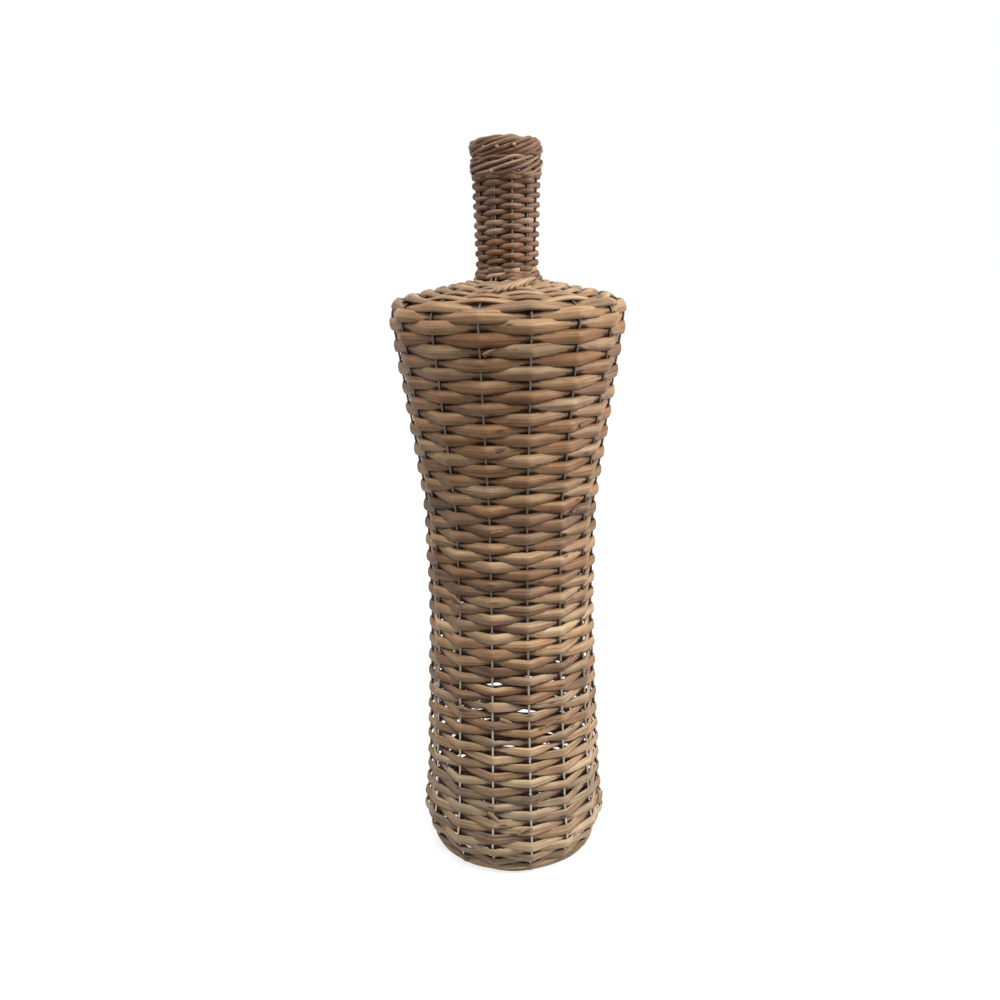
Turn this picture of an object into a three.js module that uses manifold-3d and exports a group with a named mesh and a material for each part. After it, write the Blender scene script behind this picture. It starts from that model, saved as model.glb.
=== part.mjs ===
// Rattan vase: a tall bottle-shaped basket, woven from willow on a cage of steel wires.
// Millimetres, +Z up, the origin in the middle of the standing face, the front towards -Y.
import * as THREE from 'three';
import { mergeVertices } from 'three/addons/utils/BufferGeometryUtils.js';
import Module from 'manifold-3d';

const wasm = await Module();
wasm.setup();

// Wire cage: wires evenly spaced in the wall, and in the neck a single wire and a pair in turn.
const WIRE_COUNT = 15;
const WIRES_PER_GROUP = 3;
const FRONT_WIRE_ANGLE = THREE.MathUtils.degToRad(10);
const WIRE_DIAMETER = 2.4;
const BASE_RING_RADIUS = 12;

// Willow: thickness of the flat splits in the wall, base and shoulder, and of the rods in the neck.
const SPLIT_THICKNESS = 3;
const ROD_THICKNESS = 4.2;

// Weave of the wall: one weaver climbs round and round, in front of one wire and behind the next.
// Height of its lowest pass in front of the first wire, and the spacing of its courses at four heights.
const FIRST_FRONT_HEIGHT = 26.2;
const COURSE_SPACINGS = [
  { height: 0, spacing: 8.8 },
  { height: 200, spacing: 10.5 },
  { height: 330, spacing: 9.9 },
  { height: 640, spacing: 12.2 },
];

// The courses laid over the shoulder.
const SHOULDER_COURSE_COUNT = 10;

// Gap between pieces that touch on the real basket.
const CLEARANCE = 0.3;

// Foot border: the ring that the vase stands on.
const FOOT_BORDER_OUTER_RADIUS = 87;
const FOOT_BORDER_WIDTH = 10;
const FOOT_BORDER_ROUNDING = 2;

// Outside of the weave: at each corner of the outline its radius, height and rounding.
// The wall turns up beside the foot border, so the radius of that first corner is worked out from the border.
const BASE_LIFT = 3;
const FOOT_TURN_ROUNDING = 10;
const FOOT_BULGE_RADIUS = 112;
const FOOT_BULGE_HEIGHT = 38;
const FOOT_BULGE_ROUNDING = 30;
const LOWER_WALL_RADIUS = 106.5;
const LOWER_WALL_HEIGHT = 80;
const LOWER_WALL_ROUNDING = 200;
const WAIST_RADIUS = 96.3;
const WAIST_HEIGHT = 300;
const WAIST_ROUNDING = 500;
const FLARE_RADIUS = 98.2;
const FLARE_HEIGHT = 425;
const FLARE_ROUNDING = 250;
const SHOULDER_RADIUS = 131.5;
const SHOULDER_HEIGHT = 647.5;
const SHOULDER_ROUNDING = 22;
const SHOULDER_RISE = 22;
const NECK_FOOT_RADIUS = 34.2;
const NECK_FOOT_ROUNDING = 6;
const NECK_LENGTH = 100.5;
const NECK_TOP_RADIUS = 37.2;

// Rim: two rolled borders, one on the other, round the top of the neck and a little wider than it.
const RIM_OVERHANG = 2.1;
const RIM_BAND_HEIGHT = 20;
const RIM_ROUNDING = 5;

// The wall is made in this many woven sections, one on the other.
const WALL_SECTIONS = 6;

// Fineness of the round stretches. The splits run straight from wire to wire: the wall has a corner at each wire.
const WALL_SEGMENTS = WIRE_COUNT;
const ROUND_SEGMENTS = 2 * WIRE_COUNT;
const WIRE_SIDES = 6;
const ARC_STEP = THREE.MathUtils.degToRad(32);
const EDGE_ARC_STEPS = 2;

// A ring's rounded edge takes at most this share of its width or height.
const EDGE_SHARE = 0.45;

// Points along the woven face keep at least this distance apart.
const LEAST_SPACING = 2.8;

// How far a cut runs past the face that it opens.
const CUT_OVERRUN = 2;

// Worked-out sizes
const WIRE_RADIUS = WIRE_DIAMETER / 2;
const CHANNEL_HALF_WIDTH = WIRE_RADIUS + CLEARANCE;
const WALL_THICKNESS = 2 * SPLIT_THICKNESS + WIRE_DIAMETER;
const FOOT_TURN_RADIUS = FOOT_BORDER_OUTER_RADIUS + CLEARANCE + FOOT_TURN_ROUNDING;
const RIM_RADIUS = NECK_TOP_RADIUS + RIM_OVERHANG;
const BASE_TOP = BASE_LIFT + WALL_THICKNESS;
const BASE_WIRE_LEVEL = BASE_LIFT + SPLIT_THICKNESS + WIRE_RADIUS;
const NECK_FOOT_HEIGHT = SHOULDER_HEIGHT + SHOULDER_RISE;
const NECK_TOP_HEIGHT = NECK_FOOT_HEIGHT + NECK_LENGTH;
const TOP_HEIGHT = NECK_TOP_HEIGHT + 2 * RIM_BAND_HEIGHT;
const RIM_HOOP_HEIGHT = TOP_HEIGHT - RIM_BAND_HEIGHT / 2;
const NECK_SLOPE = (NECK_TOP_RADIUS - NECK_FOOT_RADIUS) / NECK_LENGTH;
const GROUP_ANGLE = (2 * Math.PI * WIRES_PER_GROUP) / WIRE_COUNT;

// Colours of the willow, from the greyer foot to the warmer top, and of the bare wire.
const FOOT_COLOUR = new THREE.Color(0x9c8b74);
const TOP_COLOUR = new THREE.Color(0xb08457);
const NECK_COLOUR = new THREE.Color(0x87573a);
const RIM_COLOUR = new THREE.Color(0x8d6144);
const WIRE_COLOUR = new THREE.Color(0xb8b8b2);

const willow = (colour) => new THREE.MeshStandardMaterial({ color: colour, roughness: 0.72, metalness: 0 });
const steel = () => new THREE.MeshStandardMaterial({ color: WIRE_COLOUR, roughness: 0.35, metalness: 1 });

const wireIndexes = Array.from({ length: WIRE_COUNT }, (_, i) => i);

// Angle of a wire's plane in the wall.
function wallAngle(index) {
  return FRONT_WIRE_ANGLE + (2 * Math.PI * index) / WIRE_COUNT;
}

// A place on the outline: radius r, height z, outward direction (nr, nz) and the willow's thickness there.
function place(r, z, nr, nz, willowThickness) {
  return { r, z, nr, nz, willow: willowThickness };
}

// The places on the arc that rounds one corner between the straight runs to its neighbours.
// A slight corner has one place, in the middle of its arc.
function roundedCorner(before, corner, after) {
  const inward = new THREE.Vector2(corner.r - before.r, corner.z - before.z).normalize();
  const outward = new THREE.Vector2(after.r - corner.r, after.z - corner.z).normalize();
  const turn = Math.atan2(inward.cross(outward), inward.dot(outward));
  const setback = corner.rounding * Math.tan(Math.abs(turn) / 2);
  const steps = Math.round(Math.abs(turn) / ARC_STEP);
  const side = Math.sign(turn);
  const startNormal = new THREE.Vector2(inward.y, -inward.x);
  const centre = new THREE.Vector2(corner.r, corner.z)
    .addScaledVector(inward, -setback)
    .addScaledVector(startNormal, -side * corner.rounding);
  const shares = steps === 0 ? [0.5] : Array.from({ length: steps + 1 }, (_, i) => i / steps);
  const places = [];
  for (const share of shares) {
    const normal = startNormal.clone().rotateAround(new THREE.Vector2(), turn * share);
    const point = centre.clone().addScaledVector(normal, side * corner.rounding);
    places.push(place(point.x, point.y, normal.x, normal.y, corner.willow));
  }
  return places;
}

const corner = (r, z, rounding, willowThickness) => ({ r, z, rounding, willow: willowThickness });
const CORNERS = [
  corner(0, BASE_LIFT, 0, SPLIT_THICKNESS),
  corner(FOOT_TURN_RADIUS, BASE_LIFT, FOOT_TURN_ROUNDING, SPLIT_THICKNESS),
  corner(FOOT_BULGE_RADIUS, FOOT_BULGE_HEIGHT, FOOT_BULGE_ROUNDING, SPLIT_THICKNESS),
  corner(LOWER_WALL_RADIUS, LOWER_WALL_HEIGHT, LOWER_WALL_ROUNDING, SPLIT_THICKNESS),
  corner(WAIST_RADIUS, WAIST_HEIGHT, WAIST_ROUNDING, SPLIT_THICKNESS),
  corner(FLARE_RADIUS, FLARE_HEIGHT, FLARE_ROUNDING, SPLIT_THICKNESS),
  corner(SHOULDER_RADIUS, SHOULDER_HEIGHT, SHOULDER_ROUNDING, SPLIT_THICKNESS),
  corner(NECK_FOOT_RADIUS, NECK_FOOT_HEIGHT, NECK_FOOT_ROUNDING, ROD_THICKNESS),
  corner(NECK_TOP_RADIUS + 2 * RIM_BAND_HEIGHT * NECK_SLOPE, TOP_HEIGHT, 0, ROD_THICKNESS),
];

// The whole outline from the middle of the base to the top, with the distance along it.
function makeOutline() {
  const rounded = CORNERS.slice(1, -1).map((c, i) => roundedCorner(CORNERS[i], c, CORNERS[i + 2]));
  const first = CORNERS[0];
  const last = CORNERS.at(-1);
  const topNormal = rounded.at(-1).at(-1);
  const places = [
    place(first.r, first.z, 0, -1, first.willow),
    ...rounded.flat(),
    place(last.r, last.z, topNormal.nr, topNormal.nz, last.willow),
  ];
  let distance = 0;
  places.forEach((p, i) => {
    if (i > 0) distance += Math.hypot(p.r - places[i - 1].r, p.z - places[i - 1].z);
    p.s = distance;
  });
  return { places, shoulderEnd: rounded.at(-2).at(-1).s, neckStart: rounded.at(-1).at(-1).s };
}
const outline = makeOutline();

// The place at distance s along the outline, between its neighbours.
function placeAt(s) {
  const i = Math.max(1, outline.places.findIndex((p) => p.s >= s));
  const a = outline.places[i - 1];
  const b = outline.places[i];
  const t = (s - a.s) / (b.s - a.s);
  const mix = (key) => THREE.MathUtils.lerp(a[key], b[key], t);
  const normal = new THREE.Vector2(mix('nr'), mix('nz')).normalize();
  return { ...place(mix('r'), mix('z'), normal.x, normal.y, mix('willow')), s };
}

// The places between two distances along the outline, both ends included.
function stretch(from, to) {
  const between = outline.places.filter((p) => p.s > from && p.s < to);
  return [placeAt(from), ...between, placeAt(to)];
}

// Distance along the neck to a height, from the neck's foot upwards.
function distanceAtHeight(height) {
  const a = placeAt(outline.neckStart);
  const b = outline.places.at(-1);
  return a.s + ((height - a.z) * (b.s - a.s)) / (b.z - a.z);
}

// The place moved in from the outside of the weave by a depth, square to the outline.
const inside = (p, depth) => new THREE.Vector2(p.r - p.nr * depth, p.z - p.nz * depth);
const wireCentre = (p) => inside(p, p.willow + WIRE_RADIUS);

// A solid of revolution about the vase's axis from a closed profile of (radius, height) points.
function turned(profile, segments) {
  const geometry = new THREE.LatheGeometry([...profile, profile[0]], segments, FRONT_WIRE_ANGLE);
  return geometry.rotateX(Math.PI / 2);
}

// A woven shell between two distances along the outline: two layers of willow with the wire between.
function wovenShell(from, to, segments) {
  const places = stretch(from, to);
  const outer = places.map((p) => inside(p, 0));
  const inner = places.map((p) => inside(p, 2 * p.willow + WIRE_DIAMETER)).reverse();
  return turned([...outer, ...inner], segments);
}

// Angle of a wire's plane in the neck and the wire's shift to the side of that plane.
// The first wire of a group stays in its plane, and the other two lie side by side, between two first wires.
function neckPlane(index) {
  const member = index % WIRES_PER_GROUP;
  if (member === 0) return { angle: wallAngle(index), shift: 0 };
  const halfPair = (WIRE_DIAMETER + CLEARANCE) / 2;
  return { angle: wallAngle(index - member) + GROUP_ANGLE / 2, shift: member === 1 ? -halfPair : halfPair };
}

// The plane of a wire at a place on the outline: the directions out and to the side, and the wire's shift.
function planeOfWire(index, p) {
  const inNeck = p.s > outline.shoulderEnd;
  const { angle, shift } = inNeck ? neckPlane(index) : { angle: wallAngle(index), shift: 0 };
  const out = new THREE.Vector3(Math.sin(angle), -Math.cos(angle), 0);
  const side = new THREE.Vector3(Math.cos(angle), Math.sin(angle), 0);
  return { out, side, shift };
}

// A point near a wire: at a depth in from the outside of the weave and shifted to the wire's side.
// Between two places of the outline it runs straight, as the wire does.
function onWire(index, s, depth, shift) {
  const i = Math.max(1, outline.places.findIndex((p) => p.s >= s));
  const [start, end] = [outline.places[i - 1], outline.places[i]];
  const share = (s - start.s) / (end.s - start.s);
  const [low, high] = [start, end].map((p) => {
    const plane = planeOfWire(index, p);
    const at = inside(p, depth);
    const aside = plane.shift + shift;
    return plane.out.multiplyScalar(at.x).addScaledVector(plane.side, aside).setZ(at.y);
  });
  return low.lerp(high, share);
}

// Distances along the outline at which the weaver starts each round, at the first wire, between two distances,
// and the number of the lowest of these courses.
function makeCourses(from, to, first, spacingAt) {
  const above = [first];
  while (above.at(-1) < to) above.push(above.at(-1) + spacingAt(above.at(-1)));
  const below = [first];
  while (below.at(-1) > from) below.push(below.at(-1) - spacingAt(below.at(-1)));
  return { distances: [...below.slice(1).reverse(), ...above], lowest: 1 - below.length };
}

// The woven face along one wire between two distances: at each crossing the weaver is at the outside, or, where
// it passes behind the wire, sunk by one split. A bend of the outline is as deep as the crossing nearest to it.
function wovenFace(wire, from, to, courses) {
  const crossings = courses.distances.slice(1).map((next, i) => {
    const number = (courses.lowest + i) * WIRE_COUNT + wire;
    const s = THREE.MathUtils.lerp(courses.distances[i], next, wire / WIRE_COUNT);
    return { s, depth: number % 2 === 0 ? 0 : SPLIT_THICKNESS };
  });
  const clearOf = (s, others) => others.every((other) => Math.abs(s - other.s) > LEAST_SPACING);
  const ends = [from, to].map((s) => ({ s, depth: SPLIT_THICKNESS / 2 }));
  const face = [...ends, ...crossings.filter(({ s }) => s > from && s < to && clearOf(s, ends))];
  const bends = outline.places.filter(({ s }) => s > from && s < to && clearOf(s, face));
  const nearest = (s) => crossings.reduce((best, c) => (Math.abs(c.s - s) < Math.abs(best.s - s) ? c : best));
  return [...face, ...bends.map(({ s }) => ({ s, depth: nearest(s).depth }))].sort((a, b) => a.s - b.s);
}

// A closed woven ring. For each wire it takes the lines of points on the outside, in their order round the
// vase, and the line on the inside. Each line runs up the outline, and the faces run straight between lines.
function closedRing(lines) {
  const vertices = [];
  const triangles = [];
  const numbered = (line) => line.map(({ s, at }) => ({ s, index: vertices.push(at) - 1 }));
  const wires = lines.map(({ outside, back }) => ({ outside: outside.map(numbered), back: numbered(back) }));
  const strip = (left, right) => {
    let i = 0;
    let j = 0;
    while (i < left.length - 1 || j < right.length - 1) {
      const leftNext = i < left.length - 1 ? left[i + 1].s : Infinity;
      const rightNext = j < right.length - 1 ? right[j + 1].s : Infinity;
      const corners = leftNext < rightNext ? [left[i], right[j], left[++i]] : [left[i], right[j], right[++j]];
      triangles.push(...corners.map(({ index }) => index));
    }
  };
  wires.forEach(({ outside, back }, i) => {
    const next = wires[(i + 1) % wires.length];
    const row = [...outside, next.outside[0]];
    row.slice(1).forEach((line, k) => strip(row[k], line));
    strip(next.back, back);
    const bottom = [...row, next.back].map((line) => line[0].index);
    const top = [...row, next.back].map((line) => line.at(-1).index);
    for (let k = 1; k < bottom.length; k++) {
      triangles.push(back[0].index, bottom[k], bottom[k - 1]);
      triangles.push(back.at(-1).index, top[k - 1], top[k]);
    }
  });
  return new THREE.BufferGeometry().setFromPoints(vertices).setIndex(triangles);
}

// A line of points along one wire, over it or beside it.
function lineOnWire(wire, points, shift = 0) {
  return points.map(({ s, depth }) => ({ s, at: onWire(wire, s, depth, shift) }));
}
// The line on the inside of the weave stays in the plane that the wire has in the wall.
function lineInside(wire, from, to) {
  const angle = wallAngle(wire);
  const out = new THREE.Vector3(Math.sin(angle), -Math.cos(angle), 0);
  return stretch(from, to).map((p) => {
    const at = inside(p, 2 * p.willow + WIRE_DIAMETER);
    return { s: p.s, at: out.clone().multiplyScalar(at.x).setZ(at.y) };
  });
}

// One section of the wall. Each wire lies in an open slot, whose floor is just inside the wire.
function wovenWall(from, to) {
  const floor = stretch(from, to).map((p) => ({ s: p.s, depth: p.willow + WIRE_RADIUS + CHANNEL_HALF_WIDTH }));
  const lines = wireIndexes.map((wire) => {
    const face = wovenFace(wire, from, to, wallCourses);
    const faceLeft = lineOnWire(wire, face, -CHANNEL_HALF_WIDTH);
    const floorLeft = lineOnWire(wire, floor, -CHANNEL_HALF_WIDTH);
    const floorRight = lineOnWire(wire, floor, CHANNEL_HALF_WIDTH);
    const faceRight = lineOnWire(wire, face, CHANNEL_HALF_WIDTH);
    return { outside: [faceLeft, floorLeft, floorRight, faceRight], back: lineInside(wire, from, to) };
  });
  const shown = closedRing(lines).toNonIndexed();
  shown.computeVertexNormals();
  return shown;
}

// The cone between wall and neck, before the slots for the wires are cut.
function wovenShoulder(from, to) {
  const lines = wireIndexes.map((wire) => {
    const face = wovenFace(wire, from, to, shoulderCourses);
    return { outside: [lineOnWire(wire, face)], back: lineInside(wire, from, to) };
  });
  return closedRing(lines);
}

// A rolled ring with a rounded square section.
function rolledRing(innerRadius, outerRadius, bottom, top, rounding, segments) {
  const edge = Math.min(rounding, EDGE_SHARE * (outerRadius - innerRadius), EDGE_SHARE * (top - bottom));
  const centres = [
    [outerRadius - edge, bottom + edge, -Math.PI / 2],
    [outerRadius - edge, top - edge, 0],
    [innerRadius + edge, top - edge, Math.PI / 2],
    [innerRadius + edge, bottom + edge, Math.PI],
  ];
  const profile = centres.flatMap(([r, z, start]) =>
    Array.from({ length: EDGE_ARC_STEPS + 1 }, (_, i) => {
      const angle = start + ((Math.PI / 2) * i) / EDGE_ARC_STEPS;
      return new THREE.Vector2(r + edge * Math.cos(angle), z + edge * Math.sin(angle));
    }),
  );
  return turned(profile, segments);
}

// The line of one wire, with a section that keeps one side facing out of the basket.
// Its steps are its own places, so that the bends keep their shape.
class WireLine extends THREE.Curve {
  constructor(index, from, to) {
    super();
    this.points = [];
    this.frames = { tangents: [], normals: [], binormals: [] };
    for (const p of stretch(from, to)) {
      const { out, side, shift } = planeOfWire(index, p);
      const centre = wireCentre(p);
      this.points.push(out.clone().multiplyScalar(centre.x).addScaledVector(side, shift).setZ(centre.y));
      this.frames.normals.push(out.clone().multiplyScalar(p.nr).setZ(p.nz));
      this.frames.binormals.push(side);
      this.frames.tangents.push(out.clone().multiplyScalar(-p.nz).setZ(p.nr));
    }
    this.steps = this.points.length - 1;
  }
  getPoint(t) {
    return this.points[Math.round(t * this.steps)].clone();
  }
  getPointAt(u) {
    return this.getPoint(u);
  }
  computeFrenetFrames() {
    return this.frames;
  }
}

// A section carried along one wire's line.
function carried(section, line) {
  return new THREE.ExtrudeGeometry(section, { steps: line.steps, extrudePath: line, bevelEnabled: false });
}

// The wire's own section: a regular polygon round its centre.
function wireSection() {
  const points = Array.from({ length: WIRE_SIDES }, (_, i) => {
    const angle = (2 * Math.PI * (i + 0.5)) / WIRE_SIDES;
    return new THREE.Vector2(WIRE_RADIUS * Math.cos(angle), WIRE_RADIUS * Math.sin(angle));
  });
  return new THREE.Shape(points);
}

// The section of the room cut for a wire, from just inside the wire to a reach towards the outside.
function channelSection(reach) {
  return new THREE.Shape([
    new THREE.Vector2(-CHANNEL_HALF_WIDTH, -CHANNEL_HALF_WIDTH),
    new THREE.Vector2(reach, -CHANNEL_HALF_WIDTH),
    new THREE.Vector2(reach, CHANNEL_HALF_WIDTH),
    new THREE.Vector2(-CHANNEL_HALF_WIDTH, CHANNEL_HALF_WIDTH),
  ]);
}

// Manifold solids from three.js geometries, and back.
function solidOf(geometry) {
  const bare = geometry.clone();
  bare.deleteAttribute('normal');
  bare.deleteAttribute('uv');
  const merged = mergeVertices(bare);
  const vertProperties = new Float32Array(merged.attributes.position.array);
  const triVerts = new Uint32Array(merged.index.array);
  const mesh = new wasm.Mesh({ numProp: 3, vertProperties, triVerts });
  mesh.merge();
  return new wasm.Manifold(mesh);
}
function geometryOf(solid) {
  const mesh = solid.getMesh();
  const geometry = new THREE.BufferGeometry();
  geometry.setAttribute('position', new THREE.BufferAttribute(mesh.vertProperties, 3));
  geometry.setIndex(new THREE.BufferAttribute(mesh.triVerts, 1));
  return geometry;
}
function cutFrom(geometry, tools) {
  const cut = tools.reduce((solid, tool) => solid.subtract(tool), solidOf(geometry));
  const shown = geometryOf(cut).toNonIndexed();
  shown.computeVertexNormals();
  return shown;
}

const vase = new THREE.Group();
function add(name, geometry, material) {
  const mesh = new THREE.Mesh(geometry, material);
  mesh.name = name;
  vase.add(mesh);
  return mesh;
}

// Courses of the weave: in the wall their spacing changes with the height, on the shoulder it stays the same.
const footWall = stretch(0, outline.shoulderEnd).filter((p) => p.r > FOOT_BORDER_OUTER_RADIUS);
const firstAbove = footWall.findIndex((p) => p.z > FIRST_FRONT_HEIGHT);
const [lowBend, highBend] = [footWall[firstAbove - 1], footWall[firstAbove]];
const firstShare = (FIRST_FRONT_HEIGHT - lowBend.z) / (highBend.z - lowBend.z);
const firstDistance = THREE.MathUtils.lerp(lowBend.s, highBend.s, firstShare);
function wallSpacing(s) {
  const height = Math.min(placeAt(s).z, COURSE_SPACINGS.at(-1).height);
  const i = Math.max(1, COURSE_SPACINGS.findIndex((known) => known.height >= height));
  const [low, high] = [COURSE_SPACINGS[i - 1], COURSE_SPACINGS[i]];
  return THREE.MathUtils.mapLinear(height, low.height, high.height, low.spacing, high.spacing);
}
const wallCourses = makeCourses(FOOT_BORDER_OUTER_RADIUS, outline.shoulderEnd, firstDistance, wallSpacing);
const shoulderSpacing = (outline.neckStart - outline.shoulderEnd) / SHOULDER_COURSE_COUNT;
const shoulderCourses = makeCourses(
  outline.shoulderEnd,
  outline.neckStart,
  outline.shoulderEnd,
  () => shoulderSpacing,
);

// Wires: from the ring under the base, out to the foot, up the wall, over the shoulder and up the neck.
const wireStart = BASE_RING_RADIUS + WIRE_RADIUS + CLEARANCE;
const hoopDistance = distanceAtHeight(RIM_HOOP_HEIGHT);
const wireEnd = hoopDistance - WIRE_RADIUS - CLEARANCE;
for (let i = 0; i < WIRE_COUNT; i++) {
  const line = new WireLine(i, wireStart, wireEnd);
  add(`wire_${String(i + 1).padStart(2, '0')}`, carried(wireSection(), line), steel());
}

// The ring that the wires meet at under the base, and the hoop inside the rim.
const baseRing = new THREE.TorusGeometry(BASE_RING_RADIUS, WIRE_RADIUS, WIRE_SIDES, WALL_SEGMENTS);
add('base_ring', baseRing, steel()).position.z = BASE_WIRE_LEVEL;
const hoopPlace = wireCentre(placeAt(hoopDistance));
const rimHoop = new THREE.TorusGeometry(hoopPlace.x, WIRE_RADIUS, WIRE_SIDES, ROUND_SEGMENTS);
add('rim_hoop', rimHoop, steel()).position.z = hoopPlace.y;

// The room that the wires take in the willow: open slots in the weave, closed channels in the borders.
const openReach = Math.max(SPLIT_THICKNESS, ROD_THICKNESS) + WIRE_RADIUS + CUT_OVERRUN;
const cutLine = (i) => new WireLine(i, BASE_RING_RADIUS, hoopDistance);
const slots = wireIndexes.map((i) => solidOf(carried(channelSection(openReach), cutLine(i))));
const channels = wireIndexes.map((i) => solidOf(carried(channelSection(CHANNEL_HALF_WIDTH), cutLine(i))));
function ringChannel(radius, bottom, top, segments) {
  const inner = radius - CHANNEL_HALF_WIDTH;
  const outer = radius + CHANNEL_HALF_WIDTH;
  const profile = [
    new THREE.Vector2(inner, bottom),
    new THREE.Vector2(outer, bottom),
    new THREE.Vector2(outer, top),
    new THREE.Vector2(inner, top),
  ];
  return solidOf(turned(profile, segments));
}
const grooveTop = BASE_WIRE_LEVEL + CHANNEL_HALF_WIDTH;
const baseRingGroove = ringChannel(BASE_RING_RADIUS, BASE_LIFT - CUT_OVERRUN, grooveTop, WALL_SEGMENTS);
const hoopChannel = ringChannel(
  hoopPlace.x,
  hoopPlace.y - CHANNEL_HALF_WIDTH,
  hoopPlace.y + CHANNEL_HALF_WIDTH,
  ROUND_SEGMENTS,
);

// Base: a woven disc inside the foot border.
const footBorderInnerRadius = FOOT_BORDER_OUTER_RADIUS - FOOT_BORDER_WIDTH;
const baseRadius = footBorderInnerRadius - CLEARANCE;
const baseDisc = new THREE.LatheGeometry(
  [
    new THREE.Vector2(0, BASE_LIFT),
    new THREE.Vector2(baseRadius, BASE_LIFT),
    new THREE.Vector2(baseRadius, BASE_TOP),
    new THREE.Vector2(0, BASE_TOP),
  ],
  WALL_SEGMENTS,
  FRONT_WIRE_ANGLE,
).rotateX(Math.PI / 2);
add('base_weave', cutFrom(baseDisc, [...slots, baseRingGroove]), willow(FOOT_COLOUR));

// Foot border: the roll round the wires where they turn up into the wall. The vase stands on it.
const footBorder = rolledRing(
  footBorderInnerRadius,
  FOOT_BORDER_OUTER_RADIUS,
  0,
  BASE_TOP,
  FOOT_BORDER_ROUNDING,
  WALL_SEGMENTS,
);
add('foot_border', cutFrom(footBorder, channels), willow(FOOT_COLOUR));

// Wall: woven sections of equal height along the outline, numbered from the foot up.
const wallStart = FOOT_BORDER_OUTER_RADIUS + CLEARANCE;
const sectionLength = (outline.shoulderEnd - wallStart) / WALL_SECTIONS;
for (let i = 0; i < WALL_SECTIONS; i++) {
  const from = wallStart + i * sectionLength;
  const colour = FOOT_COLOUR.clone().lerp(TOP_COLOUR, i / (WALL_SECTIONS - 1));
  add(`wall_weave_${i + 1}`, wovenWall(from, from + sectionLength - CLEARANCE), willow(colour));
}

// Shoulder: the woven cone between the wall and the neck.
const shoulder = wovenShoulder(outline.shoulderEnd, outline.neckStart - CLEARANCE);
add('shoulder_weave', cutFrom(shoulder, slots), willow(TOP_COLOUR));

// Neck: close rods round the gathered wires, up to the rim.
const neckEnd = distanceAtHeight(NECK_TOP_HEIGHT) - CLEARANCE;
const neck = wovenShell(outline.neckStart, neckEnd, ROUND_SEGMENTS);
add('neck_weave', cutFrom(neck, slots), willow(NECK_COLOUR));

// Rim: the lower and the upper rolled border, round the wires' ends and the hoop.
const rimInnerRadius = hoopPlace.x - WIRE_RADIUS - ROD_THICKNESS;
const rimMiddle = NECK_TOP_HEIGHT + RIM_BAND_HEIGHT;
const rimBand = (bottom, top) =>
  rolledRing(rimInnerRadius, RIM_RADIUS, bottom, top, RIM_ROUNDING, ROUND_SEGMENTS);
const lowerRim = rimBand(NECK_TOP_HEIGHT, rimMiddle - CLEARANCE);
add('rim_border_lower', cutFrom(lowerRim, channels), willow(RIM_COLOUR));
const upperRim = rimBand(rimMiddle, TOP_HEIGHT);
add('rim_border_upper', cutFrom(upperRim, [...channels, hoopChannel]), willow(RIM_COLOUR));

export default vase;
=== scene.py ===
# %% [markdown]
# A floor vase in the shape of a bottle, woven from willow on a cage of fifteen bare steel wires.
# The measured frame holds every piece at its real place and size: the wires, the rings they end in,
# and closed shells for the woven parts. Here the shells are woven for real, strand by strand.
# Everything is in metres, +Z is up, and the front of the vase looks towards -Y.

# %% Load the measured frame
import math
from functools import partial

import bpy
import numpy as np
from mathutils import Matrix, Vector


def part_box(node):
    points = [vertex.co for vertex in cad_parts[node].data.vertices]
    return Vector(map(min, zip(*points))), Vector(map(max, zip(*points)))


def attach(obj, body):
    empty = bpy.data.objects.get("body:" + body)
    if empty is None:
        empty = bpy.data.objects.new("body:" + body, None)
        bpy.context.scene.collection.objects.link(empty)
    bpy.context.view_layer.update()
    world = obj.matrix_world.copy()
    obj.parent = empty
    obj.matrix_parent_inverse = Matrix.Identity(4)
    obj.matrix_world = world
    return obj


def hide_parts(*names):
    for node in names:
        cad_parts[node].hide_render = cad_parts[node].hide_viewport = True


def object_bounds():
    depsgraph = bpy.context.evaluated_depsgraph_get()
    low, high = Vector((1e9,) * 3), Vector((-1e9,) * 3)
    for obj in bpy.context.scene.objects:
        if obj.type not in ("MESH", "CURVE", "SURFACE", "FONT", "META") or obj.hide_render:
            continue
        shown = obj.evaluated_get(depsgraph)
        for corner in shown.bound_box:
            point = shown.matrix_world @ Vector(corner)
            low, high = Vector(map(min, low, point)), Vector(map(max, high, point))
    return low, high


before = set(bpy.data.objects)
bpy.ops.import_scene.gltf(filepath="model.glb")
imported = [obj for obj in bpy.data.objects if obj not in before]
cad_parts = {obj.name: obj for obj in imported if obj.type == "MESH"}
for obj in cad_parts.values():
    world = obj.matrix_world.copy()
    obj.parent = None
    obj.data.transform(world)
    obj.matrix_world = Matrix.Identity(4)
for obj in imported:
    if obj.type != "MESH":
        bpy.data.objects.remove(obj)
cad_box = [list(corner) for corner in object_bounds()]
print("frame holds", len(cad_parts), "nodes in the box", cad_box)

# %% [markdown]
# The photograph looks at the vase from a metre away, from just above its shoulder and a little down.
# Its focal length follows from how the rows of the weave curve: 950 pixels in a frame of 1000.

# %% Camera
CAMERA_PLACE = (-0.0115, -1.046, 0.698)
CAMERA_PITCH = math.radians(14.8)
CAMERA_ROLL = math.radians(0.9)
PHOTO_FOCAL_PIXELS = 950
PHOTO_WIDTH_PIXELS = 1000
SENSOR_WIDTH = 36


def new_object(name, data):
    """An object for a camera, a lamp or a mesh, linked into the scene."""
    thing = bpy.data.objects.new(name, data)
    bpy.context.scene.collection.objects.link(thing)
    return thing


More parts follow.
